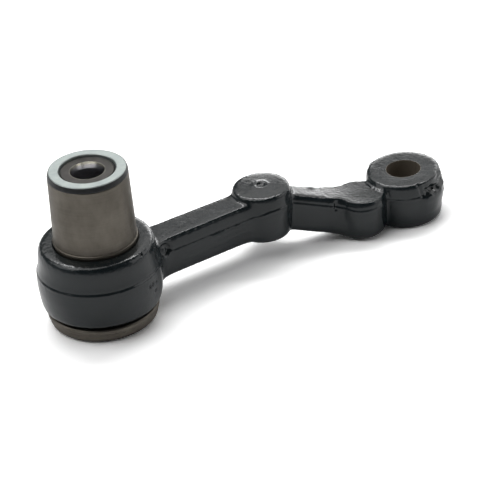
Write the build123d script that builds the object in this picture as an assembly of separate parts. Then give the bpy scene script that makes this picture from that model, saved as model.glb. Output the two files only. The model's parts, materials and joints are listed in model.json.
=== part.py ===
from build123d import *
import os
from math import atan, atan2, cos, degrees, hypot

# Steering idler arm: a black painted steel forging that swings about a through bolt.
# Millimetres. The origin is on the pivot axis, on the plane that the arm rests on.
# +Z runs up the pivot axis, and +X points to the centre of the tapered stud hole.

# Main sizes
OVERALL_HEIGHT = 80.5       # lower washer's face to upper washer's face
ARM_LENGTH = 166.2          # pivot axis to stud hole

# Pivot: inner sleeve for a 9/16 inch bolt, with a sealed washer at each end
BOLT_BORE_R = 7.5
INNER_SLEEVE_R = 13.0
LEAD_IN_R = 8.3             # long bolt lead-in at each mouth
LEAD_IN_DEPTH = 3.0
UPPER_RECESS = 1.0          # sleeve end below the washer, until the bracket squeezes the seal
LOWER_RECESS = 0.5
SLEEVE_EDGE = 0.5

WASHER_R = 18.3
WASHER_HOLE_R = 13.65
WASHER_THICKNESS = 2.1
WASHER_EDGE = 0.3

SEAL_SKIN = 0.55            # rubber between washer and housing
SEAL_LIP_DROP = 0.35        # how far the outer lip stops short of the washer's face
SEAL_LIP = 0.3              # thickness of the outer lip at its edge
SEAL_INNER_LIP = 0.5
SEAL_GAP = 0.05             # running gap to the housing's end face

# Housing sleeve pressed up through the eye, with a turned flange under it
HOUSING_TOP_R = 19.15
HOUSING_FOOT_R = 19.85      # drawn tube, a little wider at the eye
HOUSING_PRESS_R = 19.6
HOUSING_BORE_R = 15.2
HOUSING_EDGE = 0.4
BEAD_R = 20.25              # raised ring round the tube just above the eye
BEAD_GAP = 0.6
BEAD_HEIGHT = 1.5
BEAD_EDGE = 0.25
FLANGE_R = 26.8
FLANGE_RIM_HEIGHT = 2.2
FLANGE_BAND_R = 25.9
FLANGE_BOTTOM_Z = 0.8
FLANGE_EDGE = 0.5
FLANGE_STEP = 0.8           # slope between the rim and the band under it
FLANGE_FOOT = 1.0           # bevel at the foot
COUNTERBORE_R = 19.5

# Plain bearing bushes inside the housing sleeve
BUSH_CLEARANCE = 0.08       # radial running clearance on the inner sleeve
BUSH_LENGTH = 32.0
BUSH_INSET = 0.9            # end of each bush below the housing's end face
BUSH_EDGE = 0.6

# Eye of the forging, from its machined seat upwards
EYE_BOTTOM_Z = 7.5
EYE_SEAT_R = 24.2
EYE_LIP_R, EYE_LIP_Z = 25.4, 9.0
EYE_UNDER_R, EYE_UNDER_Z = 27.2, 9.3
EYE_FOOT_R, EYE_FOOT_Z = 28.6, 10.7
EYE_BELLY_R, EYE_BELLY_Z = 29.4, 15.3
EYE_R = 29.9
EYE_WIDEST_Z = 21.4
EYE_PARTING_Z = 27.9
EYE_UPPER_R = 29.45         # the upper die half is slightly smaller
EYE_PARTING_STEP = 0.5
EYE_WAIST_R, EYE_WAIST_Z = 28.45, 32.9
EYE_SHOULDER_R, EYE_SHOULDER_Z = 27.9, 39.4
EYE_TOP_R, EYE_TOP_Z = 26.4, 42.3
EYE_SIDE_ROUND = 12.0
EYE_MOUTH_R = 20.9          # chamfered mouth round the housing
EYE_MOUTH_DEPTH = 1.1

# First length of the arm, from the eye to the middle boss
BOSS_X, BOSS_Y = 92.4, 9.2
BEAM_TOP_Z = 32.5
BEAM_PARTING_Z = 25.1
BEAM_BOTTOM_Z = 11.4
BEAM_HALF_WIDTH_EYE = 9.8
BEAM_HALF_WIDTH_BOSS = 8.7
BEAM_EYE_BLEND_R = 13.0
BEAM_BOSS_NEAR_BLEND_R = 14.0   # near side faces -Y, far side faces +Y
BEAM_BOSS_FAR_BLEND_R = 5.0
BLEND_INSET = 0.5           # plan rounds start this far inside the turned bosses

# Middle boss, slightly crowned, with a small centre pip
BOSS_TOP_Z = 36.0
BOSS_CROWN = 0.5
BOSS_PARTING_Z = 26.2
BOSS_BOTTOM_Z = 9.8
BOSS_R = 15.2
BOSS_TOP_R = 13.9
BOSS_BOTTOM_R = 13.4
BOSS_EDGE_R = 1.0
PIP_FOOT_R = 4.3
PIP_LIP_R = 3.6
PIP_MOUTH_R = 2.7
PIP_FLOOR_R = 1.9
PIP_LIP_HEIGHT = 0.35
PIP_DEPTH = 0.9

# Second length, which drops from the middle boss to the shoulder lobe
LOBE_X, LOBE_Y = 139.5, -3.5
DROP_SLOPE = 0.30           # fall for each millimetre along
DROP_PARTING_Z = 29.6       # at the middle boss's axis
DROP_ABOVE = 4.6
DROP_BELOW = 15.2
DROP_HALF_WIDTH_BOSS = 6.6
DROP_HALF_WIDTH_LOBE = 7.6
DROP_BOSS_ROUND_R = 13.2
DROP_LOBE_ROUND_R = 12.0
DROP_BOSS_BLEND_R = 7.0
DROP_LOBE_NEAR_BLEND_R = 7.0
DROP_LOBE_FAR_BLEND_R = 90.0
DROP_TRIM_MARGIN = 0.3
DROP_TRIM_INSET = 0.5

# Shoulder lobe beside the stud end
LOBE_TOP_Z = 22.0
LOBE_PARTING_Z = 17.6
LOBE_BOTTOM_Z = 1.0
LOBE_R = 12.8
LOBE_TOP_R = 11.9
LOBE_BOTTOM_R = 11.7

# Stud end, with a 1:8 taper for a ball stud
STUD_TOP_Z = 24.5
STUD_PARTING_Z = 17.0
STUD_R = 19.0
STUD_TOP_R = 18.3
STUD_BOTTOM_R = 17.9
STUD_HOLE_TOP_R = 8.5
STUD_TAPER = 1 / 8          # on diameter
STUD_HOLE_EDGE = 0.3
NECK_TOP_Z = 21.2
NECK_BOTTOM_Z = 1.8
NECK_INSET = 0.6            # neck outline inside the lobe and the stud end
NECK_BLEND_R = 2.5
PAD_R = 6.0                 # half-round forging pad on the far side of the stud end
PAD_FOOT_R = 4.8
PAD_TOP_R = 5.5
PAD_ANGLE = 109.0
PAD_REACH = 22.2
PAD_TOP_Z = 22.0
PAD_BOTTOM_Z = 3.0
LEDGE_ANGLE = -34.0         # trimmed corner and gouge on the near side
LEDGE_REACH = 16.9
LEDGE_Z = 21.6
GOUGE_ANGLE = -42.0
GOUGE_R = 3.6
GOUGE_DEPTH = 1.5
GOUGE_Z = 17.2

# Drafts and edges of the whole forging
UPPER_DRAFT = 9.0           # degrees
LOWER_DRAFT = 5.0
DROP_UPPER_DRAFT = 14.0
DROP_LOWER_DRAFT = 5.5
EDGE_R = 1.4                # rounding of the bosses' upper edges
EDGE = 1.0                  # bevel of the straight lengths' upper edges
LOWER_EDGE = 1.6            # bevel of every lower edge
BEVEL_ANGLE = 42.0


def turned(outline, center=(0, 0)):
    """Revolve a closed (radius, height, corner rounding) outline about an upright axis."""
    points = [(r, 0, z) for r, z, _ in outline]
    roundings = [rounding for _, _, rounding in outline]
    section = make_face(FilletPolyline(*points, radius=roundings, close=True))
    return Pos(*center, 0) * revolve(section, Axis.Z)


def machined(outline):
    """Revolve a closed (radius, height, corner chamfer) outline about the pivot axis."""
    section = make_face(Polyline(*[(r, 0, z) for r, z, _ in outline], close=True))
    for r, z, corner_chamfer in outline:
        if corner_chamfer:
            corner = section.vertices().sort_by_distance((r, 0, z))[0]
            section = chamfer(corner, corner_chamfer)
    return revolve(section, Axis.Z)


def lower_corner(r, z):
    """Bevelled bottom corner of a forged boss, as two outline points."""
    return (r - LOWER_EDGE, z, 0), (r, z + LOWER_EDGE, 0)


def die_half(outline, height, draft, edge):
    """A plan outline that narrows away from the parting plane, with a bevelled edge at its end face."""
    wall = extrude(outline, height - edge, taper=draft)
    end_face = wall.faces().sort_by(Axis.Z)[-1]
    return wall + extrude(end_face, edge, taper=BEVEL_ANGLE)


def drafted(outline, plane, above, below, upper_draft, lower_draft):
    """Both die halves of a forged length, back to back on the parting plane."""
    upper = die_half(outline, above, upper_draft, EDGE)
    under = die_half(outline, below, lower_draft, LOWER_EDGE)
    return plane * upper + plane * mirror(under, Plane.XY)


def strip(length, half_width_start, half_width_end):
    """Tapered bar outline along local X."""
    return make_face(Polyline(
        (0, -half_width_start),
        (length, -half_width_end),
        (length, half_width_end),
        (0, half_width_start),
        close=True,
    ))


def linked(start_r, end_r, length, half_width_start, half_width_end, blends):
    """Bar outline between two rounds. The blends are start near, start far, end near and end far."""
    bar = strip(length, half_width_start, half_width_end)
    outline = Circle(start_r) + bar + Pos(length, 0) * Circle(end_r)
    corners = [(False, False), (False, True), (True, False), (True, True)]
    for (at_end, far_side), blend in zip(corners, blends):
        corner = [v for v in outline.vertices() if (v.X > length / 2) == at_end and (v.Y > 0) == far_side]
        outline = fillet(corner, blend)
    return outline


def eye():
    return turned([
        (HOUSING_PRESS_R, EYE_BOTTOM_Z, 0),
        (EYE_SEAT_R, EYE_BOTTOM_Z, 0),
        (EYE_LIP_R, EYE_LIP_Z, 0),
        (EYE_UNDER_R, EYE_UNDER_Z, 0),
        (EYE_FOOT_R, EYE_FOOT_Z, 0),
        (EYE_BELLY_R, EYE_BELLY_Z, EYE_SIDE_ROUND),
        (EYE_R, EYE_WIDEST_Z, EYE_SIDE_ROUND),
        (EYE_R, EYE_PARTING_Z, 0),
        (EYE_UPPER_R, EYE_PARTING_Z + EYE_PARTING_STEP, 0),
        (EYE_WAIST_R, EYE_WAIST_Z, EYE_SIDE_ROUND),
        (EYE_SHOULDER_R, EYE_SHOULDER_Z, EDGE_R),
        (EYE_TOP_R, EYE_TOP_Z, EDGE_R),
        (EYE_MOUTH_R, EYE_TOP_Z, 0),
        (HOUSING_PRESS_R, EYE_TOP_Z - EYE_MOUTH_DEPTH, 0),
    ])


def beam():
    length = hypot(BOSS_X, BOSS_Y)
    heading = degrees(atan2(BOSS_Y, BOSS_X))
    outline = linked(
        EYE_R - BLEND_INSET, BOSS_R - BLEND_INSET, length,
        BEAM_HALF_WIDTH_EYE, BEAM_HALF_WIDTH_BOSS,
        (BEAM_EYE_BLEND_R, BEAM_EYE_BLEND_R, BEAM_BOSS_NEAR_BLEND_R, BEAM_BOSS_FAR_BLEND_R),
    )
    plane = Plane(Location((0, 0, BEAM_PARTING_Z), (0, 0, heading)))
    above = BEAM_TOP_Z - BEAM_PARTING_Z
    below = BEAM_PARTING_Z - BEAM_BOTTOM_Z
    return drafted(outline, plane, above, below, UPPER_DRAFT, LOWER_DRAFT)


def middle_boss():
    return turned([
        (0, BOSS_BOTTOM_Z, 0),
        *lower_corner(BOSS_BOTTOM_R, BOSS_BOTTOM_Z),
        (BOSS_R, BOSS_PARTING_Z, 0),
        (BOSS_TOP_R, BOSS_TOP_Z - BOSS_CROWN, BOSS_EDGE_R),
        (PIP_FOOT_R, BOSS_TOP_Z, 0),
        (PIP_LIP_R, BOSS_TOP_Z + PIP_LIP_HEIGHT, 0),
        (PIP_MOUTH_R, BOSS_TOP_Z + PIP_LIP_HEIGHT, 0),
        (PIP_FLOOR_R, BOSS_TOP_Z - PIP_DEPTH, 0),
        (0, BOSS_TOP_Z - PIP_DEPTH, 0),
    ], (BOSS_X, BOSS_Y))


def drop():
    """The sloping length. Its parting plane falls towards the stud end."""
    run = hypot(LOBE_X - BOSS_X, LOBE_Y - BOSS_Y)
    heading = degrees(atan2(LOBE_Y - BOSS_Y, LOBE_X - BOSS_X))
    fall = atan(DROP_SLOPE)
    blends = (DROP_BOSS_BLEND_R, DROP_BOSS_BLEND_R, DROP_LOBE_NEAR_BLEND_R, DROP_LOBE_FAR_BLEND_R)
    outline = linked(
        DROP_BOSS_ROUND_R, DROP_LOBE_ROUND_R, run / cos(fall),
        DROP_HALF_WIDTH_BOSS, DROP_HALF_WIDTH_LOBE, blends,
    )
    outline &= Pos(run, 0) * Rectangle(2 * run, 2 * run)
    plane = Plane(Location((BOSS_X, BOSS_Y, DROP_PARTING_Z), (0, 0, heading)) * Rot(0, degrees(fall), 0))
    body = drafted(outline, plane, DROP_ABOVE, DROP_BELOW, DROP_UPPER_DRAFT, DROP_LOWER_DRAFT)
    # the tilted lower half would overhang the lobe, so it is trimmed just inside the lobe's drafted wall
    trim = linked(
        DROP_BOSS_ROUND_R, LOBE_BOTTOM_R - DROP_TRIM_INSET, run,
        DROP_HALF_WIDTH_BOSS + DROP_TRIM_MARGIN, DROP_HALF_WIDTH_LOBE + DROP_TRIM_MARGIN, blends,
    )
    draft = degrees(atan2(LOBE_R - LOBE_BOTTOM_R, LOBE_PARTING_Z - LOBE_BOTTOM_Z))
    wall = extrude(trim, BOSS_TOP_Z - LOBE_BOTTOM_Z, taper=-draft)
    return body & Pos(BOSS_X, BOSS_Y, LOBE_BOTTOM_Z) * Rot(0, 0, heading) * wall


def shoulder_lobe():
    return turned([
        (0, LOBE_BOTTOM_Z, 0),
        *lower_corner(LOBE_BOTTOM_R, LOBE_BOTTOM_Z),
        (LOBE_R, LOBE_PARTING_Z, 0),
        (LOBE_TOP_R, LOBE_TOP_Z, EDGE_R),
        (0, LOBE_TOP_Z, 0),
    ], (LOBE_X, LOBE_Y))


def neck():
    """Blended waist between the lobe and the stud end."""
    lobe_round = Pos(LOBE_X, LOBE_Y) * Circle(LOBE_R - NECK_INSET)
    stud_round = Pos(ARM_LENGTH, 0) * Circle(STUD_R - NECK_INSET)
    outline = lobe_round + stud_round
    outline = fillet(outline.vertices(), NECK_BLEND_R)
    plane = Plane.XY.offset(LOBE_PARTING_Z)
    above = NECK_TOP_Z - LOBE_PARTING_Z
    below = LOBE_PARTING_Z - NECK_BOTTOM_Z
    return drafted(outline, plane, above, below, UPPER_DRAFT, LOWER_DRAFT)


def around_stud(angle, reach, z):
    """Place on the stud end, turned to face outwards."""
    return Pos(ARM_LENGTH, 0, z) * Rot(0, 0, angle) * Pos(reach, 0, 0)


def forging_pad():
    return turned([
        (0, PAD_BOTTOM_Z, 0),
        *lower_corner(PAD_FOOT_R, PAD_BOTTOM_Z),
        (PAD_R, STUD_PARTING_Z, 0),
        (PAD_TOP_R, PAD_TOP_Z - EDGE, 0),
        (PAD_TOP_R - EDGE, PAD_TOP_Z, 0),
        (0, PAD_TOP_Z, 0),
    ])


def stud_end():
    body = turned([
        (0, 0, 0),
        *lower_corner(STUD_BOTTOM_R, 0),
        (STUD_R, STUD_PARTING_Z, 0),
        (STUD_TOP_R, STUD_TOP_Z, EDGE_R),
        (0, STUD_TOP_Z, 0),
    ], (ARM_LENGTH, 0))
    body += around_stud(PAD_ANGLE, PAD_REACH - PAD_R, 0) * forging_pad()
    above_ledge = Box(STUD_R, 2 * STUD_R, STUD_TOP_Z, align=(Align.MIN, Align.CENTER, Align.MIN))
    body -= around_stud(LEDGE_ANGLE, LEDGE_REACH, LEDGE_Z) * above_ledge
    return body - around_stud(GOUGE_ANGLE, STUD_R + GOUGE_R - GOUGE_DEPTH, GOUGE_Z) * Sphere(GOUGE_R)


def stud_hole():
    """Taper cutter, wide at the top, with a broken edge at each mouth."""
    bottom_r = STUD_HOLE_TOP_R - STUD_TAPER * STUD_TOP_Z / 2
    return Pos(ARM_LENGTH, 0, 0) * machined([
        (0, 0, 0),
        (bottom_r + STUD_HOLE_EDGE, 0, 0),
        (bottom_r, STUD_HOLE_EDGE, 0),
        (STUD_HOLE_TOP_R, STUD_TOP_Z - STUD_HOLE_EDGE, 0),
        (STUD_HOLE_TOP_R + STUD_HOLE_EDGE, STUD_TOP_Z, 0),
        (0, STUD_TOP_Z, 0),
    ])


def arm_forging():
    solid = eye() + beam() + middle_boss() + drop() + shoulder_lobe() + neck() + stud_end() - stud_hole()
    # blends that start inside the eye are cleared from the housing's bore
    height = EYE_TOP_Z - EYE_BOTTOM_Z
    return solid - Pos(0, 0, EYE_BOTTOM_Z + height / 2) * Cylinder(HOUSING_PRESS_R, height)


def housing_end_z():
    """Height of the housing's upper end face, under the upper seal."""
    return OVERALL_HEIGHT - WASHER_THICKNESS - SEAL_SKIN - SEAL_GAP


def outer_housing():
    top_z = housing_end_z()
    shoulder_z = OVERALL_HEIGHT - top_z
    bead_z = EYE_TOP_Z + BEAD_GAP
    rim_z = EYE_BOTTOM_Z - FLANGE_RIM_HEIGHT
    return machined([
        (HOUSING_BORE_R, shoulder_z, 0),
        (COUNTERBORE_R, shoulder_z, 0),
        (COUNTERBORE_R, FLANGE_BOTTOM_Z, 0),
        (FLANGE_BAND_R - FLANGE_FOOT, FLANGE_BOTTOM_Z, 0),
        (FLANGE_BAND_R, FLANGE_BOTTOM_Z + FLANGE_FOOT, FLANGE_EDGE),
        (FLANGE_BAND_R, rim_z - FLANGE_STEP, 0),
        (FLANGE_R, rim_z, 0),
        (FLANGE_R, EYE_BOTTOM_Z, FLANGE_EDGE),
        (HOUSING_PRESS_R, EYE_BOTTOM_Z, 0),
        (HOUSING_PRESS_R, bead_z, 0),
        (BEAD_R, bead_z, BEAD_EDGE),
        (BEAD_R, bead_z + BEAD_HEIGHT, BEAD_EDGE),
        (HOUSING_FOOT_R, bead_z + BEAD_HEIGHT, 0),
        (HOUSING_TOP_R, top_z, HOUSING_EDGE),
        (HOUSING_BORE_R, top_z, HOUSING_EDGE),
    ])


def inner_sleeve():
    bottom_z = LOWER_RECESS
    top_z = OVERALL_HEIGHT - UPPER_RECESS
    return machined([
        (LEAD_IN_R, bottom_z, 0),
        (INNER_SLEEVE_R, bottom_z, SLEEVE_EDGE),
        (INNER_SLEEVE_R, top_z, SLEEVE_EDGE),
        (LEAD_IN_R, top_z, 0),
        (BOLT_BORE_R, top_z - LEAD_IN_DEPTH, 0),
        (BOLT_BORE_R, bottom_z + LEAD_IN_DEPTH, 0),
    ])


def bearing_bush(bottom_z):
    inner_r = INNER_SLEEVE_R + BUSH_CLEARANCE
    top_z = bottom_z + BUSH_LENGTH
    return machined([
        (inner_r, bottom_z, BUSH_EDGE),
        (HOUSING_BORE_R, bottom_z, 0),
        (HOUSING_BORE_R, top_z, 0),
        (inner_r, top_z, BUSH_EDGE),
    ])


def upside_down(solid):
    """The same piece at the lower end of the pivot."""
    return Pos(0, 0, OVERALL_HEIGHT) * Rot(180, 0, 0) * solid


def seal_ring():
    """Rubber ring at the upper end, which seats the washer inside a bevelled outer lip."""
    bottom_z = housing_end_z() + SEAL_GAP
    seat_z = bottom_z + SEAL_SKIN
    lip_z = OVERALL_HEIGHT - SEAL_LIP_DROP
    return machined([
        (INNER_SLEEVE_R, bottom_z, 0),
        (HOUSING_TOP_R, bottom_z, 0),
        (HOUSING_TOP_R, seat_z, 0),
        (WASHER_R + SEAL_LIP, lip_z, 0),
        (WASHER_R, lip_z, 0),
        (WASHER_R, seat_z, 0),
        (WASHER_HOLE_R, seat_z, 0),
        (WASHER_HOLE_R, seat_z + SEAL_INNER_LIP, 0),
        (INNER_SLEEVE_R, seat_z + SEAL_INNER_LIP, 0),
    ])


def thrust_washer():
    """Zinc plated washer at the upper end."""
    bottom_z = OVERALL_HEIGHT - WASHER_THICKNESS
    return machined([
        (WASHER_HOLE_R, bottom_z, 0),
        (WASHER_R, bottom_z, 0),
        (WASHER_R, OVERALL_HEIGHT, WASHER_EDGE),
        (WASHER_HOLE_R, OVERALL_HEIGHT, WASHER_EDGE),
    ])


upper_bush_z = housing_end_z() - BUSH_INSET - BUSH_LENGTH
lower_bush_z = OVERALL_HEIGHT - housing_end_z() + BUSH_INSET

pieces = {
    "arm_forging": arm_forging(),
    "outer_housing": outer_housing(),
    "upper_bearing_bush": bearing_bush(upper_bush_z),
    "lower_bearing_bush": bearing_bush(lower_bush_z),
    "inner_sleeve": inner_sleeve(),
    "upper_seal_ring": seal_ring(),
    "lower_seal_ring": upside_down(seal_ring()),
    "upper_thrust_washer": thrust_washer(),
    "lower_thrust_washer": upside_down(thrust_washer()),
}

os.makedirs("parts", exist_ok=True)
for name, piece in pieces.items():
    export_step(piece, f"parts/{name}.step")
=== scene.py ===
import json
import math

import bmesh
import bpy
import numpy as np
from mathutils import Matrix, Vector, noise


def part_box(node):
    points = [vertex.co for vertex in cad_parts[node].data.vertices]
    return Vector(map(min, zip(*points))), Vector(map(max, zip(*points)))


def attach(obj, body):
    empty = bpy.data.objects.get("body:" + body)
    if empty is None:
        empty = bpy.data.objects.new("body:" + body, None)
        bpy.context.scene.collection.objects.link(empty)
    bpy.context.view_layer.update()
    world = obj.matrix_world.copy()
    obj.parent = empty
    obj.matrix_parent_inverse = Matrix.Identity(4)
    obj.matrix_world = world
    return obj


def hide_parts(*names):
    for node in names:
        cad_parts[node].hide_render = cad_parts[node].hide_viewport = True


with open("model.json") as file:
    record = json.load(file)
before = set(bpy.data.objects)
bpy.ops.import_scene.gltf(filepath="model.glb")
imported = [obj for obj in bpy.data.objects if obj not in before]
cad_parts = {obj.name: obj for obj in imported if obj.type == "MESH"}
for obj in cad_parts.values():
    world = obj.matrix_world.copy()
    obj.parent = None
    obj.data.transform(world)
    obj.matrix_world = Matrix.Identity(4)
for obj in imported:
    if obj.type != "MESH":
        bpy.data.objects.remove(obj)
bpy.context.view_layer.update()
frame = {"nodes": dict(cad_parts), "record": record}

# Looks of a black painted steering idler arm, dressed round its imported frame.
# Metres throughout. The origin is on the pivot axis, +X points to the stud hole and +Z up.

MM = 0.001

# Read from the frame
PIVOT_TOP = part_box("upper_thrust_washer")[1].z
EYE_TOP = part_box("arm_forging")[1].z
STUD = Vector(next(m["pos_m"] for m in frame["record"]["mounts"] if m["name"] == "stud_taper"))

# Machined holes, at the sizes of the solids
PRESS_R = 19.6 * MM          # the housing's seat in the eye
SEAT_Z = 7.5 * MM            # the eye's lower face
MOUTH_R = 20.9 * MM          # chamfered mouth round the housing
MOUTH_DEPTH = 1.1 * MM
STUD_HOLE_R = 8.5 * MM       # at the top face
STUD_TAPER = 1 / 8           # on diameter
LEAD_IN_R = 8.3 * MM         # the bolt bore's mouth
# The lead-in's mouth carries a painted highlight over this depth, which fades out below it.
LEAD_IN_HIGHLIGHT_DEPTH = 1.2 * MM     # depth of its brightest rim
LEAD_IN_HIGHLIGHT_FADE = 1.4 * MM
PLUG_MARGIN = 1 * MM         # how much wider the plugs are than the holes
PLUG_INSET = 0.01 * MM
PLUG_SIDES = 96
CUTTER_SIDES = 160
CUTTER_REACH = 2 * MM        # how far a cutter runs past the faces

# Forms of the forging in plan
STUD_END_R = 19.0 * MM
BOSS = np.array([92.4, 9.2]) * MM
LOBE = np.array([139.5, -3.5]) * MM
NECK = np.array([152, -3]) * MM
NECK_R = 11 * MM
PIP_R = 5 * MM

# Forged skin: the solid is remeshed, then its corners are eased
WELD = 0.001 * MM            # vertices nearer than this become one
VOXEL = 0.55 * MM
FILL_STEPS = 18              # widens concave corners
WEAR_STEPS = 21              # rounds convex edges
SOFTEN_STEPS = 2             # rounds every edge
STEPS_PER_NORMAL = 5         # the normals are worked out again after so many steps
EASE = 0.5                   # share of the way to the neighbours' mean in one step
NECK_FILL = 0.12
PIP_FILL = 0.05
PIP_WEAR = 0.25
EDGE_CURL = 0.025 * MM       # bend of a full edge, against the neighbours' mean
EDGE_SPREAD_STEPS = 3
SMOOTH_ANGLE = math.radians(38)

# Unevenness: size of the features, height, and the number that picks the pattern
SWELL = (9 * MM, 0.07 * MM, 1)
RIPPLE = (2.6 * MM, 0.02 * MM, 2)
BEADS = (1.4 * MM, 0.15 * MM, 3)
FLASH_RAGS = (5 * MM, 0.6, 4)
LEDGE_WANDER = (4.5 * MM, 2.0 * MM, 5)
PATTERN_SHIFT = Vector((7.3, 1.9, 4.1))

# Trimmed flash line: places along the arm and its height there, in millimetres
FLASH_ALONG = (-30, 27, 37, 78, 84, 89, 98, 104, 127, 133, 144, 150, 186)
FLASH_Z = (28.2, 28.4, 25.2, 25.0, 26.3, 28.0, 28.3, 26.0, 18.6, 17.5, 17.5, 17.0, 17.0)
FLASH_HEIGHT = 0.26 * MM
FLASH_WIDTH = 0.55 * MM
GROOVE_DEPTH = 0.16 * MM
GROOVE_OVER = 1.0 * MM

# Top of the drop, which runs out over the lobe
DROP_START = 30 * MM         # from the boss's axis
DROP_START_Z = 25.4 * MM
DROP_RUN = 26 * MM
DROP_SLOPE = 0.30
DROP_SKIN = 1.6 * MM         # how near the skin must be to be moved
DROP_OFF_STUD = 1 * MM       # how far it keeps from the stud end
LEVEL_FROM = 0.55            # upward part of the normal where a face starts to count as a top
LEVEL_RANGE = 0.35

# Trimmed corner of the stud end. Bearings are degrees round the stud hole's axis.
LEDGE_BEARINGS = (-97, -26)
LEDGE_FADE = 12
LEDGE_Z = 17.6 * MM
LEDGE_DEPTH = 1.1 * MM
LEDGE_SOFTNESS = 1.1 * MM
LEDGE_SKIN = 2.5 * MM
LEDGE_FOOT_Z = 6 * MM
LEDGE_FOOT_FADE = 8 * MM
SWELLING_BEARING = math.radians(-72)
SWELLING_Z = 8.5 * MM
SWELLING_R = 4.5 * MM
SWELLING_HEIGHT = 0.5 * MM

# Marks that the photo shows, in millimetres. Heights under zero go in.
# Steep dents: centre, radius, height
DENTS = (
    ((32.2, -6.9, 28.2), 3.3, -2.0),         # pocket beside the eye, where the flash was trimmed
    ((12.3, -24.2, 41.4), 0.95, -0.7),       # pits in the eye
    ((18.9, -23.2, 23.5), 0.95, -0.7),
    ((17.9, -23.8, 19.5), 0.95, -0.7),
    ((13.9, -26.5, 24.0), 0.95, -0.7),
    ((16.1, -25.2, 24.2), 0.95, -0.7),
    ((172.6, -17.6, 19.0), 2.2, -1.3),       # gouge in the stud end's trimmed corner
)
# Soft spots: centre, radius, height
SPOTS = (
    ((32.6, -6.6, 27.8), 1.5, 1.0),          # middle of the pocket
    ((118, 7.6, 25.5), 2.2, 0.5),            # nub on the drop's far edge
)
# Strokes: start, end, width, height
STROKES = (
    ((44, -4.4, 17.6), (80, -0.8, 19.4), 0.7, 0.12),             # draw lines down the beam
    ((60, -2.5, 21.4), (80, -0.8, 22.2), 0.6, 0.08),
    ((125.2, -7.0, 24.0), (124.0, -7.4, 19.0), 1.1, -1.3),       # notch where the drop meets the lobe
    ((164.4, -17.6, 24.0), (166.0, -18.6, 17.5), 0.9, -0.8),     # draw line down the stud end
    ((168.5, -18.2, 19.6), (176.5, -16.2, 18.6), 1.3, -1.0),     # gouge in its trimmed corner
)

# Camera at the photo's viewing angle. Pixels are the photo's.
PICTURE = 480
FOCAL_PIXELS = 3200
PIVOT_PIXEL = (86.92, 168.53)    # centre of the pivot's top face
SENSOR = 36.0
CLIP_START = 0.1
ARM_TURN = math.radians(24.68)
ELEVATION = math.radians(30.858)
ROLL = math.radians(5.464)
DISTANCE = 1487.3 * MM           # along the view, to the pivot's top centre

# Light. The world's greys go from the horizon up to the ceiling, by the sine of the elevation.
WORLD_STOPS = ((0.05, 0.45), (0.25, 0.10), (0.6, 0.04))
LIT_POINT = Vector((0.07, 0, 0.02))
# Softboxes: azimuth (0 is straight behind the arm, 90 its right) and elevation in degrees,
# distance, width and height in metres, radiance
SOFTBOXES = {
    "key": (-70, 74, 1.3, 1.5, 1.1, 2.0),
    "strip": (4, 64, 1.25, 1.35, 0.17, 11),        # glints along the upper edges
    "left": (-100, 44, 1.5, 1.2, 1.2, 1.6),
    "right": (80, 22, 1.7, 2.2, 1.0, 1.35),
    "back": (0, 46, 1.6, 2.4, 0.78, 1.35),         # sheen on the level tops
    "mid_back": (12, 24, 1.65, 0.9, 0.2, 1.8),
    "low_back": (20, 14, 1.6, 1.3, 0.34, 5.3),     # sheen on the drop
}
FLOOR_HALF = 3.0
FLOOR_GREY = 0.78
SEEN_FLOOR_GREY = 1.25


def mesh_arrays(mesh):
    """Vertex places and edges of a mesh as arrays."""
    places = np.empty(len(mesh.vertices) * 3, np.float32)
    mesh.vertices.foreach_get("co", places)
    edges = np.empty(len(mesh.edges) * 2, np.int32)
    mesh.edges.foreach_get("vertices", edges)
    return places.reshape(-1, 3).astype(float), edges.reshape(-1, 2)


def normals_of(mesh):
    """Vertex normals of a mesh as an array."""
    normals = np.empty(len(mesh.vertices) * 3, np.float32)
    mesh.vertex_normals.foreach_get("vector", normals)
    return normals.reshape(-1, 3).astype(float)


def set_places(mesh, places):
    mesh.vertices.foreach_set("co", places.astype(np.float32).ravel())
    mesh.update()


def towards_neighbours(places, edges):
    """How far each vertex's values, such as its place, are from the mean of its neighbours'."""
    count = len(places)
    first, second = edges[:, 0], edges[:, 1]
    degree = np.bincount(first, minlength=count) + np.bincount(second, minlength=count)
    total = np.stack([
        np.bincount(first, places[second, axis], count) + np.bincount(second, places[first, axis], count)
        for axis in range(places.shape[1])
    ], axis=1)
    return total / degree[:, None] - places


def plan_distance(places, centre):
    """Distance of each place from an upright axis."""
    return np.hypot(places[:, 0] - centre[0], places[:, 1] - centre[1])


def uneven(places, size, height, pattern):
    """Smooth noise of about plus and minus the height, with features of the given size."""
    shift = pattern * PATTERN_SHIFT
    return height * np.array([noise.noise(Vector(place) / size + shift) for place in places])


def linked_object(name, data):
    piece = bpy.data.objects.new(name, data)
    bpy.context.scene.collection.objects.link(piece)
    return piece


def mesh_from(name, bm):
    """A mesh made from a bmesh, which is freed."""
    mesh = bpy.data.meshes.new(name)
    bm.to_mesh(mesh)
    bm.free()
    return mesh


def applied(piece):
    """The mesh of an object with its modifiers, and the object removed."""
    graph = bpy.context.evaluated_depsgraph_get()
    mesh = bpy.data.meshes.new_from_object(piece.evaluated_get(graph))
    bpy.data.objects.remove(piece)
    return mesh


# Forging
def plugged_forging():
    """The forging's solid with its machined holes filled, ready for remeshing."""
    bm = bmesh.new()
    bm.from_mesh(frame["nodes"]["arm_forging"].data)
    bmesh.ops.remove_doubles(bm, verts=bm.verts, dist=WELD)
    plugs = (
        (0, 0, SEAT_Z, EYE_TOP, MOUTH_R + PLUG_MARGIN),
        (STUD.x, STUD.y, PLUG_INSET, STUD.z - PLUG_INSET, STUD_HOLE_R + PLUG_MARGIN),
    )
    for x, y, bottom, top, radius in plugs:
        bmesh.ops.create_cone(
            bm, cap_ends=True, segments=PLUG_SIDES, radius1=radius, radius2=radius, depth=top - bottom,
            matrix=Matrix.Translation((x, y, (top + bottom) / 2)),
        )
    return mesh_from("forging_blank", bm)


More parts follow.
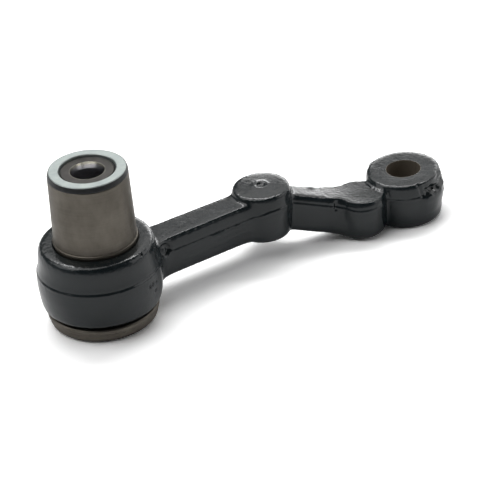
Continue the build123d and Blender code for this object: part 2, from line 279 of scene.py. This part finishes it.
def remeshed(mesh):
    """One even skin round the mesh, with its inner walls gone."""
    piece = linked_object("forging_blank", mesh)
    step = piece.modifiers.new("voxels", "REMESH")
    step.mode = "VOXEL"
    step.voxel_size = VOXEL
    return applied(piece)


def eased(mesh):
    """Fill the concave corners of the remeshed solid and take the edge off the convex ones."""
    places, edges = mesh_arrays(mesh)
    pip = plan_distance(places, BOSS) < PIP_R
    neck = plan_distance(places, NECK) < NECK_R
    fill = np.where(pip, PIP_FILL, np.where(neck, NECK_FILL, EASE))
    wear = np.where(pip, PIP_WEAR, EASE)
    for step in range(max(FILL_STEPS, WEAR_STEPS)):
        if step % STEPS_PER_NORMAL == 0:
            set_places(mesh, places)
            normals = normals_of(mesh)
        outward = np.einsum("ij,ij->i", towards_neighbours(places, edges), normals)
        filled = fill * np.maximum(outward, 0) * (step < FILL_STEPS)
        worn = wear * np.minimum(outward, 0) * (step < WEAR_STEPS)
        places += normals * (filled + worn)[:, None]
    for _ in range(SOFTEN_STEPS):
        places += EASE * towards_neighbours(places, edges)
    set_places(mesh, places)
    return places, edges


def edge_strength(places, edges, normals):
    """1 on convex edges, 0 on faces. Scale and paint gather on edges."""
    curl = -np.einsum("ij,ij->i", towards_neighbours(places, edges), normals)
    for _ in range(EDGE_SPREAD_STEPS):
        curl += EASE * towards_neighbours(curl[:, None], edges)[:, 0]
    return np.clip(curl / EDGE_CURL, 0, 1)


def flash_line(places):
    """The trimmed flash stands proud, with a shallow groove over it."""
    parting = np.interp(places[:, 0], np.array(FLASH_ALONG) * MM, np.array(FLASH_Z) * MM)
    offset = places[:, 2] - parting
    proud = FLASH_HEIGHT * np.exp(-(offset / FLASH_WIDTH) ** 2)
    groove = GROOVE_DEPTH * np.exp(-((offset - GROOVE_OVER) / FLASH_WIDTH) ** 2)
    return (1 + uneven(places, *FLASH_RAGS)) * (proud - groove)


def settled_drop(places, normals):
    """How far the skin rises for the drop's slope to run smoothly out over the lobe's top."""
    heading = LOBE - BOSS
    heading /= np.linalg.norm(heading)
    along = (places[:, :2] - BOSS) @ heading
    past = np.clip(along - DROP_START, 0, DROP_RUN)
    target = DROP_START_Z - DROP_SLOPE * (past - past ** 2 / (2 * DROP_RUN))
    gap = target - places[:, 2]
    off_stud = plan_distance(places, STUD) > STUD_END_R + DROP_OFF_STUD
    near_top = (along > DROP_START) & (np.abs(gap) < DROP_SKIN) & off_stud
    level = np.clip((normals[:, 2] - LEVEL_FROM) / LEVEL_RANGE, 0, 1)
    return near_top * level * gap


def stud_ledge(places):
    """Trimmed corner of the stud end: set back over the ledge, swollen under it."""
    bearing = np.degrees(np.arctan2(places[:, 1] - STUD.y, places[:, 0] - STUD.x))
    first, last = LEDGE_BEARINGS
    inside = np.clip((bearing - first) / LEDGE_FADE, 0, 1) * np.clip((last - bearing) / LEDGE_FADE, 0, 1)
    on_end = plan_distance(places, STUD) > STUD_END_R - LEDGE_SKIN
    height = places[:, 2] - LEDGE_Z + uneven(places, *LEDGE_WANDER)
    step = np.tanh(-height / LEDGE_SOFTNESS)
    below = np.clip((places[:, 2] - LEDGE_FOOT_Z) / LEDGE_FOOT_FADE, 0, 1)
    return LEDGE_DEPTH * inside * on_end * np.where(height > 0, step, step * below)


def nearness(places, centre, radius):
    """Squared distance of each place from the centre, where 1 is the radius."""
    return np.sum((places - centre) ** 2, axis=1) / radius ** 2


def marks(places):
    """Hammer marks, pits and draw lines, each where the photo shows it."""
    lift = np.zeros(len(places))
    for centre, radius, height in DENTS:
        lift += height * MM * np.exp(-nearness(places, np.array(centre) * MM, radius * MM) ** 3)
    for centre, radius, height in SPOTS:
        lift += height * MM * np.exp(-nearness(places, np.array(centre) * MM, radius * MM))
    for start, end, width, height in STROKES:
        origin = np.array(start) * MM
        along = np.array(end) * MM - origin
        share = np.clip((places - origin) @ along / (along @ along), 0, 1)
        lift += height * MM * np.exp(-nearness(places, origin + share[:, None] * along, width * MM))
    swelling = np.array([
        STUD.x + STUD_END_R * math.cos(SWELLING_BEARING),
        STUD.y + STUD_END_R * math.sin(SWELLING_BEARING),
        SWELLING_Z,
    ])
    return lift + SWELLING_HEIGHT * np.exp(-nearness(places, swelling, SWELLING_R))


def forged(mesh):
    """Ease the corners, then add the flash line, beaded edges, unevenness and marks."""
    places, edges = eased(mesh)
    places[:, 2] += settled_drop(places, normals_of(mesh))
    set_places(mesh, places)
    normals = normals_of(mesh)
    upright = 1 - np.abs(normals[:, 2])
    lift = uneven(places, *SWELL)
    lift += uneven(places, *RIPPLE)
    lift += edge_strength(places, edges, normals) * uneven(places, *BEADS)
    lift += upright * (flash_line(places) + stud_ledge(places))
    lift += marks(places)
    set_places(mesh, places + normals * lift[:, None])
    return mesh


def turned_cutter(name, outline, centre):
    """Closed solid of revolution from (radius, height) points."""
    bm = bmesh.new()
    rings = []
    for radius, height in outline:
        rings.append([
            bm.verts.new((
                centre[0] + radius * math.cos(2 * math.pi * k / CUTTER_SIDES),
                centre[1] + radius * math.sin(2 * math.pi * k / CUTTER_SIDES),
                height,
            ))
            for k in range(CUTTER_SIDES)
        ])
    for lower, upper in zip(rings, rings[1:]):
        for k in range(CUTTER_SIDES):
            after = (k + 1) % CUTTER_SIDES
            bm.faces.new((lower[k], lower[after], upper[after], upper[k]))
    bm.faces.new(rings[0][::-1])
    bm.faces.new(rings[-1])
    return linked_object(name, mesh_from(name, bm))


def machined(mesh):
    """Cut the housing's bore and the stud taper into the forging with crisp mouths."""
    bottom_r = STUD_HOLE_R - STUD_TAPER * STUD.z / 2
    grow = STUD_TAPER / 2 * CUTTER_REACH
    bore = (
        (PRESS_R, SEAT_Z - CUTTER_REACH),
        (PRESS_R, EYE_TOP - MOUTH_DEPTH),
        (MOUTH_R, EYE_TOP),
        (MOUTH_R, EYE_TOP + CUTTER_REACH),
    )
    taper = (
        (bottom_r - grow, -CUTTER_REACH),
        (STUD_HOLE_R + grow, STUD.z + CUTTER_REACH),
    )
    cutters = (turned_cutter("bore_cutter", bore, (0, 0)), turned_cutter("taper_cutter", taper, STUD))
    piece = linked_object("forging_cut", mesh)
    for cutter in cutters:
        cut = piece.modifiers.new(cutter.name, "BOOLEAN")
        cut.operation = "DIFFERENCE"
        cut.solver = "EXACT"
        cut.object = cutter
    result = applied(piece)
    for cutter in cutters:
        bpy.data.objects.remove(cutter)
    return result


def shade(mesh):
    """Smooth shading that keeps the sharp edges."""
    mesh.shade_smooth()
    bm = bmesh.new()
    bm.from_mesh(mesh)
    for edge in bm.edges:
        edge.smooth = len(edge.link_faces) == 2 and edge.calc_face_angle(0) < SMOOTH_ANGLE
    bm.to_mesh(mesh)
    bm.free()


# Materials
RIM_BLEND = 0.1 * MM         # softness of the border between two finishes
TURNED_DEPTH = 0.015 * MM    # fine relief of the turned and plated faces
SOCKETS = {
    "base": "Base Color",
    "metallic": "Metallic",
    "roughness": "Roughness",
    "normal": "Normal",
    "ior": "IOR",
    "specular": "Specular IOR Level",
}


class Nodes:
    """A principled material and short calls for the nodes that feed it."""

    def __init__(self, name):
        self.material = bpy.data.materials.new(name)
        self.material.use_nodes = True
        self.tree = self.material.node_tree
        self.shader = self.tree.nodes["Principled BSDF"]
        self.place = self.tree.nodes.new("ShaderNodeTexCoord").outputs["Object"]

    def feed(self, socket, value):
        """Link a node's output to the socket, or set the socket's own value."""
        if isinstance(value, bpy.types.NodeSocket):
            self.tree.links.new(value, socket)
        else:
            socket.default_value = value

    def set(self, **values):
        for name, value in values.items():
            self.feed(self.shader.inputs[SOCKETS[name]], value)

    def noise(self, size, detail=3.0, roughness=0.5, scale=(1, 1, 1)):
        """Noise with features of the given size, stretched where the scale is under 1."""
        mapping = self.tree.nodes.new("ShaderNodeMapping")
        mapping.inputs["Scale"].default_value = scale
        self.tree.links.new(self.place, mapping.inputs["Vector"])
        node = self.tree.nodes.new("ShaderNodeTexNoise")
        node.inputs["Scale"].default_value = 1 / size
        node.inputs["Detail"].default_value = detail
        node.inputs["Roughness"].default_value = roughness
        self.tree.links.new(mapping.outputs["Vector"], node.inputs["Vector"])
        return node.outputs["Fac"]

    def ramp(self, factor, *stops):
        """Values between (position, colour or number) stops."""
        node = self.tree.nodes.new("ShaderNodeValToRGB")
        elements = node.color_ramp.elements
        while len(elements) < len(stops):
            elements.new(0.5)
        for element, (position, colour) in zip(elements, stops):
            element.position = position
            element.color = (*(colour if isinstance(colour, tuple) else (colour,) * 3), 1)
        self.tree.links.new(factor, node.inputs["Fac"])
        return node.outputs["Color"]

    def cloudy(self, low, high, size, detail=3.0, roughness=0.5, scale=(1, 1, 1)):
        """From the low colour or number to the high one, in clouds of the given size."""
        return self.ramp(self.noise(size, detail, roughness, scale), (0.3, low), (0.7, high))

    def mix(self, factor, first, second, blend="MIX"):
        """The first colour where the factor is 0, the second where it is 1."""
        node = self.tree.nodes.new("ShaderNodeMix")
        node.data_type = "RGBA"
        node.blend_type = blend
        for socket, value in zip((node.inputs[0], node.inputs[6], node.inputs[7]), (factor, first, second)):
            self.feed(socket, (*value, 1) if isinstance(value, tuple) else value)
        return node.outputs[2]

    def bump(self, height, distance):
        node = self.tree.nodes.new("ShaderNodeBump")
        node.inputs["Strength"].default_value = 1
        node.inputs["Distance"].default_value = distance
        self.tree.links.new(height, node.inputs["Height"])
        return node.outputs["Normal"]

    def reach(self, centre):
        """Distance from an upright axis, in metres."""
        vector = self.place
        for operation, amount in (("SUBTRACT", (centre[0], centre[1], 0)), ("MULTIPLY", (1, 1, 0))):
            node = self.tree.nodes.new("ShaderNodeVectorMath")
            node.operation = operation
            self.tree.links.new(vector, node.inputs[0])
            node.inputs[1].default_value = amount
            vector = node.outputs[0]
        length = self.tree.nodes.new("ShaderNodeVectorMath")
        length.operation = "LENGTH"
        self.tree.links.new(vector, length.inputs[0])
        return length.outputs["Value"]

    def upward(self, vector):
        """The Z part of a vector."""
        split = self.tree.nodes.new("ShaderNodeSeparateXYZ")
        self.tree.links.new(vector, split.inputs[0])
        return split.outputs["Z"]

    def fade(self, value, start, end, rising=True):
        """0 at the start and 1 at the end, or the other way round."""
        node = self.tree.nodes.new("ShaderNodeMapRange")
        self.tree.links.new(value, node.inputs["Value"])
        node.inputs["From Min"].default_value = start
        node.inputs["From Max"].default_value = end
        node.inputs["To Min"].default_value = 0 if rising else 1
        node.inputs["To Max"].default_value = 1 if rising else 0
        return node.outputs["Result"]

    def over(self, height, soft):
        """1 above the height, 0 below."""
        return self.fade(self.upward(self.place), height - soft, height)

    def within(self, centre, radius, soft):
        """1 nearer the axis than the radius, 0 outside."""
        return self.fade(self.reach(centre), radius, radius + soft, rising=False)

    def facing_up(self):
        """1 on faces that look up, 0 on walls."""
        return self.upward(self.tree.nodes.new("ShaderNodeNewGeometry").outputs["Normal"])


def black_paint():
    """Gloss black over forging scale. The taper in the stud end is bare brown steel."""
    blue_black, grey_black = (0.0034, 0.0068, 0.0082), (0.006, 0.0102, 0.0122)
    top_speck_grey = (0.026, 0.025, 0.022)
    bare_brown = (0.17, 0.147, 0.118)
    m = Nodes("black_paint")
    bare = m.within(STUD, STUD_HOLE_R + RIM_BLEND / 2, RIM_BLEND)
    mottling = m.cloudy(blue_black, grey_black, 14 * MM, 4)
    top = m.ramp(m.facing_up(), (0.5, 0.12), (0.95, 1.0))
    # Pale grey specks, thickest on the upward faces, make the tops lighter than the walls.
    top_specks = m.mix(1.0, m.ramp(m.noise(1.1 * MM, 4, 0.65), (0.45, 0.1), (0.7, 0.7)), top, "MULTIPLY")
    m.set(base=m.mix(bare, m.mix(top_specks, mottling, top_speck_grey), bare_brown))
    m.set(metallic=m.mix(bare, (0, 0, 0), (0.6, 0.6, 0.6)))
    gloss = m.cloudy(0.15, 0.21, 3 * MM, 4)
    m.set(roughness=m.mix(bare, gloss, (0.5, 0.5, 0.5)))
    grain = m.mix(1.0, m.noise(1.4 * MM, 1.0, 0.4), top, "MULTIPLY")
    m.set(normal=m.bump(grain, 0.08 * MM), ior=1.45)
    return m.material


def bare_steel():
    """Turned tube with an oily brown cast and faint smudges."""
    m = Nodes("bare_steel")
    oily, clean = (0.115, 0.104, 0.088), (0.16, 0.145, 0.123)
    smudge = m.cloudy(oily, clean, 8 * MM, 5, 0.62, scale=(1, 1, 0.55))
    rings = m.noise(0.5 * MM, 3, 0.7, scale=(0.02, 0.02, 1))
    tool_marks = m.ramp(rings, (0.35, (0.10, 0.091, 0.079)), (0.65, (0.17, 0.155, 0.132)))
    m.set(base=m.mix(0.14, smudge, tool_marks), metallic=1.0)
    m.set(roughness=m.cloudy(0.44, 0.56, 5 * MM, 4))
    m.set(normal=m.bump(rings, TURNED_DEPTH))
    return m.material


def dark_steel():
    """Dull turned face with a polished lead-in round the bore, painted lighter and warmer at its mouth as a
    highlight.
    """
    m = Nodes("dark_steel")
    face = m.cloudy((0.038, 0.036, 0.033), (0.060, 0.057, 0.053), 3 * MM, 4, 0.6)
    lead_in = m.within((0, 0), LEAD_IN_R, RIM_BLEND)
    # Painted highlight: the lead-in's colour is lighter and warmer over its top than further down the bore.
    painted_highlight = m.over(PIVOT_TOP - LEAD_IN_HIGHLIGHT_DEPTH, LEAD_IN_HIGHLIGHT_FADE)
    polished_with_highlight = m.mix(painted_highlight, (0.6, 0.6, 0.62), (0.78, 0.75, 0.64))
    m.set(base=m.mix(lead_in, face, polished_with_highlight), metallic=1.0)
    dull = m.cloudy(0.36, 0.48, 1.5 * MM, 4)
    m.set(roughness=m.mix(lead_in, dull, (0.22, 0.22, 0.22)))
    m.set(normal=m.bump(m.noise(0.5 * MM, 3, 0.6), TURNED_DEPTH))
    return m.material


def zinc_plate():
    """Pale, slightly green zinc, cloudy and satin."""
    m = Nodes("zinc_plate")
    m.set(base=m.cloudy((0.27, 0.30, 0.295), (0.33, 0.365, 0.35), 6 * MM, 4, 0.6))
    m.set(roughness=m.cloudy(0.42, 0.55, 2 * MM, 4), metallic=0.75)
    m.set(normal=m.bump(m.noise(0.8 * MM, 3, 0.6), TURNED_DEPTH))
    return m.material


def seal_rubber():
    """Black moulded rubber."""
    m = Nodes("seal_rubber")
    m.set(base=m.cloudy((0.006, 0.007, 0.0075), (0.012, 0.013, 0.014), 2 * MM))
    m.set(normal=m.bump(m.noise(1.2 * MM), 0.12 * MM), roughness=0.4, specular=0.34)
    return m.material


def bronze():
    """Plain bearing bushes."""
    m = Nodes("bronze")
    m.set(base=m.cloudy((0.42, 0.27, 0.12), (0.52, 0.35, 0.17), 4 * MM))
    m.set(roughness=m.cloudy(0.3, 0.42, 1 * MM), metallic=1.0)
    return m.material


def seen_or_lit(tree, seen, lit, output):
    """Give the camera one shader and every other ray the other."""
    path = tree.nodes.new("ShaderNodeLightPath")
    pick = tree.nodes.new("ShaderNodeMixShader")
    tree.links.new(path.outputs["Is Camera Ray"], pick.inputs[0])
    tree.links.new(lit.outputs[0], pick.inputs[1])
    tree.links.new(seen.outputs[0], pick.inputs[2])
    tree.links.new(pick.outputs[0], output.inputs["Surface"])


def floor_material():
    """Matt floor that the camera sees whiter than it lights the arm."""
    material = bpy.data.materials.new("floor_white")
    material.use_nodes = True
    tree = material.node_tree
    plain, seen = (tree.nodes.new("ShaderNodeBsdfDiffuse") for _ in range(2))
    plain.inputs["Color"].default_value = (FLOOR_GREY, FLOOR_GREY, FLOOR_GREY, 1)
    seen.inputs["Color"].default_value = (SEEN_FLOOR_GREY, SEEN_FLOOR_GREY, SEEN_FLOOR_GREY, 1)
    seen_or_lit(tree, seen, plain, tree.nodes["Material Output"])
    return material


# Scene
def place_camera():
    """Camera that shows the arm as the photo does, placed from the pivot's top centre."""
    right = Vector((1, 0, 0))
    forward = Vector((0, math.cos(ELEVATION), -math.sin(ELEVATION)))
    down = forward.cross(right)
    rolled_right = math.cos(ROLL) * right + math.sin(ROLL) * down
    rolled_down = math.cos(ROLL) * down - math.sin(ROLL) * right
    axes = Matrix((rolled_right, -rolled_down, -forward)).transposed()
    aside, under = ((pixel - PICTURE / 2) / FOCAL_PIXELS for pixel in PIVOT_PIXEL)
    centre = -DISTANCE * (forward + aside * rolled_right + under * rolled_down)
    turn = Matrix.Rotation(-ARM_TURN, 3, "Z")
    data = bpy.data.cameras.new("camera")
    data.sensor_width = SENSOR
    data.lens = FOCAL_PIXELS / PICTURE * SENSOR
    data.clip_start = CLIP_START
    camera = linked_object("camera", data)
    place = turn @ centre + Vector((0, 0, PIVOT_TOP))
    camera.matrix_world = Matrix.Translation(place) @ (turn @ axes).to_4x4()
    bpy.context.scene.camera = camera


def softbox(name, azimuth, elevation, distance, width, height, radiance):
    """Rectangular lamp that faces the arm."""
    data = bpy.data.lights.new(name, "AREA")
    data.shape = "RECTANGLE"
    data.size = width
    data.size_y = height
    data.energy = radiance * math.pi * width * height
    lamp = linked_object(name, data)
    bearing = math.radians(90 - azimuth) - ARM_TURN
    rise = math.radians(elevation)
    away = Vector((math.cos(bearing) * math.cos(rise), math.sin(bearing) * math.cos(rise), math.sin(rise)))
    lamp.location = LIT_POINT + distance * away
    lamp.rotation_euler = (-away).to_track_quat("-Z", "Y").to_euler()


def light_world():
    """A grey horizon under a dark ceiling. The camera sees white."""
    world = bpy.data.worlds.new("studio")
    bpy.context.scene.world = world
    world.use_nodes = True
    tree = world.node_tree
    direction = tree.nodes.new("ShaderNodeTexCoord").outputs["Generated"]
    split = tree.nodes.new("ShaderNodeSeparateXYZ")
    tree.links.new(direction, split.inputs[0])
    ramp = tree.nodes.new("ShaderNodeValToRGB")
    elements = ramp.color_ramp.elements
    elements.new(0.5)
    for element, (position, grey) in zip(elements, WORLD_STOPS):
        element.position = position
        element.color = (grey, grey, grey, 1)
    tree.links.new(split.outputs["Z"], ramp.inputs["Fac"])
    background = tree.nodes["Background"]
    tree.links.new(ramp.outputs["Color"], background.inputs["Color"])
    white = tree.nodes.new("ShaderNodeBackground")
    white.inputs["Color"].default_value = (1, 1, 1, 1)
    seen_or_lit(tree, white, background, tree.nodes["World Output"])


def lay_floor():
    bm = bmesh.new()
    bmesh.ops.create_grid(bm, x_segments=1, y_segments=1, size=FLOOR_HALF)
    floor = linked_object("floor", mesh_from("floor", bm))
    floor.data.materials.append(floor_material())


def dress(node, material):
    """Give a carried-over solid its material."""
    data = frame["nodes"][node].data
    data.materials.clear()
    data.materials.append(material)


place_camera()
light_world()
for name, setting in SOFTBOXES.items():
    softbox(name, *setting)
bpy.context.scene.view_settings.view_transform = "Standard"
lay_floor()

paint = black_paint()
forging = machined(forged(remeshed(plugged_forging())))
shade(forging)
forging.materials.clear()
forging.materials.append(paint)
arm = linked_object("painted_arm", forging)
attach(arm, "arm")
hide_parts("arm_forging")

rubber = seal_rubber()
zinc = zinc_plate()
bearing = bronze()
dress("outer_housing", bare_steel())
dress("inner_sleeve", dark_steel())
for end in ("upper", "lower"):
    dress(f"{end}_seal_ring", rubber)
    dress(f"{end}_thrust_washer", zinc)
    dress(f"{end}_bearing_bush", bearing)
